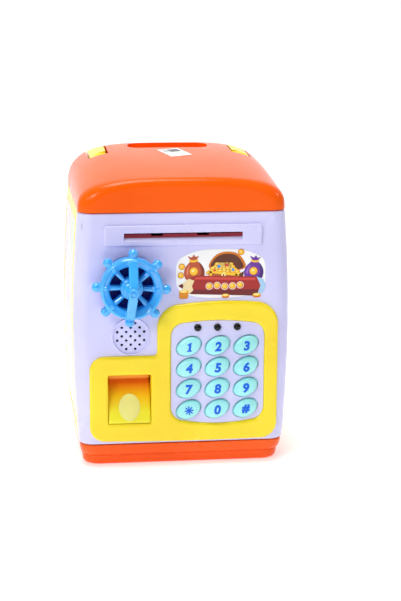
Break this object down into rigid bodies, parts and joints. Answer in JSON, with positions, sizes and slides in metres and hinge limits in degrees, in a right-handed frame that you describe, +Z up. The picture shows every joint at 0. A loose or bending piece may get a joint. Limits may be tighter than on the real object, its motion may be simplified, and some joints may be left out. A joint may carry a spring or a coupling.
{
  "type": "toy money bank",
  "caption": "Upright box-shaped toy savings bank with a hinged front door, ship's-wheel latch, oval number keys, a banknote slot and a folding carry handle.",
  "frame": {"origin": "centre of the base's underside, on the surface that the bank stands on", "axes": "+Z up, -Y out of the door, +X to the right when facing the door"},
  "size_m": [0.129, 0.1415, 0.182],
  "materials": {
    "orange_plastic": "glossy",
    "base_plastic": "glossy",
    "yellow_plastic": "glossy",
    "lilac_plastic": "glossy",
    "blue_plastic": "glossy",
    "navy_plastic": "glossy",
    "key_plastic": "satin",
    "printed_film": "satin print",
    "paper_label": "matt paper",
    "steel": "bright",
    "black_plastic": "glossy",
    "dark_rubber": "matt",
    "mat_rubber": "matt",
    "board": "satin",
    "white_plastic": "satin",
    "brass": "bright",
    "lens": "frosted"
  },
  "bodies": {
    "bank": {"base_tray": "base_plastic", "base_plate": "base_plastic", "base_screws": "steel", "casing_shell": "yellow_plastic", "side_panel_left": "printed_film", "side_panel_right": "printed_film", "lid": "orange_plastic", "lid_label": "paper_label", "lid_screws": "steel", "dish_screws": "steel", "hinge_pins": "steel", "handle_pins": "steel"},
    "handle": {"handle": "yellow_plastic"},
    "door": {"door_shell": "lilac_plastic", "slot_bezel": "lilac_plastic", "trim_frame": "yellow_plastic", "keypad_plate": "lilac_plastic", "indicator_leds": "black_plastic", "wheel_backplate": "navy_plastic", "front_sticker": "printed_film", "speaker_driver": "black_plastic", "circuit_board": "board", "key_mat": "mat_rubber", "finger_switch": "black_plastic", "battery_tray": "lilac_plastic", "battery_cells": "black_plastic", "battery_contacts": "steel", "door_back_cover": "lilac_plastic", "door_screws": "steel", "feed_bracket_left": "lilac_plastic", "feed_bracket_right": "lilac_plastic", "feed_motor": "steel"},
    "battery_cover": {"battery_cover": "lilac_plastic"},
    "finger_plate": {"finger_plate": "yellow_plastic", "print_lens": "lens"},
    "wheel": {"wheel": "blue_plastic", "wheel_cap": "blue_plastic", "wheel_shaft": "steel", "bolt_pinion": "white_plastic"},
    "bolt": {"latch_bolt": "white_plastic"},
    "feed": {"feed_shaft": "steel", "feed_rollers": "dark_rubber", "feed_gear": "white_plastic"},
    "pinch": {"pinch_shaft": "steel", "pinch_rollers": "dark_rubber"},
    "motor_rotor": {"motor_pinion": "brass"},
    "key_1": {"key_1": "key_plastic"},
    "key_2": {"key_2": "key_plastic"},
    "key_3": {"key_3": "key_plastic"},
    "key_4": {"key_4": "key_plastic"},
    "key_5": {"key_5": "key_plastic"},
    "key_6": {"key_6": "key_plastic"},
    "key_7": {"key_7": "key_plastic"},
    "key_8": {"key_8": "key_plastic"},
    "key_9": {"key_9": "key_plastic"},
    "key_star": {"key_star": "key_plastic"},
    "key_0": {"key_0": "key_plastic"},
    "key_hash": {"key_hash": "key_plastic"}
  },
  "joints": [
    {"name": "door_hinge", "type": "hinge", "parent": "bank", "child": "door", "pos_m": [0.0575, -0.05, 0.084], "axis": [0, 0, 1], "range_deg": [0, 110]},
    {"name": "handle_lift", "type": "hinge", "parent": "bank", "child": "handle", "pos_m": [0, 0.019, 0.1716], "axis": [1, 0, 0], "range_deg": [0, 90]},
    {"name": "wheel_turn", "type": "hinge", "parent": "door", "child": "wheel", "pos_m": [-0.0312, -0.06, 0.1115], "axis": [0, -1, 0], "range_deg": [0, 90]},
    {"name": "bolt_throw", "type": "slide", "parent": "door", "child": "bolt", "axis": [-1, 0, 0], "range_m": [0, 0.0063]},
    {"name": "battery_cover_off", "type": "slide", "parent": "door", "child": "battery_cover", "axis": [0, 1, 0], "range_m": [0, 0.03]},
    {"name": "finger_press", "type": "slide", "parent": "door", "child": "finger_plate", "axis": [0, 1, 0], "range_m": [0, 0.001], "stiffness_N_per_m": 600},
    {"name": "feed_spin", "type": "hinge", "parent": "door", "child": "feed", "pos_m": [0, -0.044, 0.1349], "axis": [1, 0, 0], "continuous": true},
    {"name": "pinch_spin", "type": "hinge", "parent": "door", "child": "pinch", "pos_m": [0, -0.044, 0.1427], "axis": [1, 0, 0], "continuous": true},
    {"name": "motor_spin", "type": "hinge", "parent": "door", "child": "motor_rotor", "pos_m": [0.04, -0.044, 0.1213], "axis": [1, 0, 0], "continuous": true},
    {"name": "key_1_press", "type": "slide", "parent": "door", "child": "key_1", "axis": [0, 1, 0], "range_m": [0, 0.0012], "stiffness_N_per_m": 400},
    {"name": "key_2_press", "type": "slide", "parent": "door", "child": "key_2", "axis": [0, 1, 0], "range_m": [0, 0.0012], "stiffness_N_per_m": 400},
    {"name": "key_3_press", "type": "slide", "parent": "door", "child": "key_3", "axis": [0, 1, 0], "range_m": [0, 0.0012], "stiffness_N_per_m": 400},
    {"name": "key_4_press", "type": "slide", "parent": "door", "child": "key_4", "axis": [0, 1, 0], "range_m": [0, 0.0012], "stiffness_N_per_m": 400},
    {"name": "key_5_press", "type": "slide", "parent": "door", "child": "key_5", "axis": [0, 1, 0], "range_m": [0, 0.0012], "stiffness_N_per_m": 400},
    {"name": "key_6_press", "type": "slide", "parent": "door", "child": "key_6", "axis": [0, 1, 0], "range_m": [0, 0.0012], "stiffness_N_per_m": 400},
    {"name": "key_7_press", "type": "slide", "parent": "door", "child": "key_7", "axis": [0, 1, 0], "range_m": [0, 0.0012], "stiffness_N_per_m": 400},
    {"name": "key_8_press", "type": "slide", "parent": "door", "child": "key_8", "axis": [0, 1, 0], "range_m": [0, 0.0012], "stiffness_N_per_m": 400},
    {"name": "key_9_press", "type": "slide", "parent": "door", "child": "key_9", "axis": [0, 1, 0], "range_m": [0, 0.0012], "stiffness_N_per_m": 400},
    {"name": "key_star_press", "type": "slide", "parent": "door", "child": "key_star", "axis": [0, 1, 0], "range_m": [0, 0.0012], "stiffness_N_per_m": 400},
    {"name": "key_0_press", "type": "slide", "parent": "door", "child": "key_0", "axis": [0, 1, 0], "range_m": [0, 0.0012], "stiffness_N_per_m": 400},
    {"name": "key_hash_press", "type": "slide", "parent": "door", "child": "key_hash", "axis": [0, 1, 0], "range_m": [0, 0.0012], "stiffness_N_per_m": 400}
  ],
  "couplings": [
    {"joint": "bolt_throw", "follows": "wheel_turn", "m_per_rad": 0.004},
    {"joint": "pinch_spin", "follows": "feed_spin", "ratio": -2.8947},
    {"joint": "motor_spin", "follows": "feed_spin", "ratio": -1.8333}
  ]
}
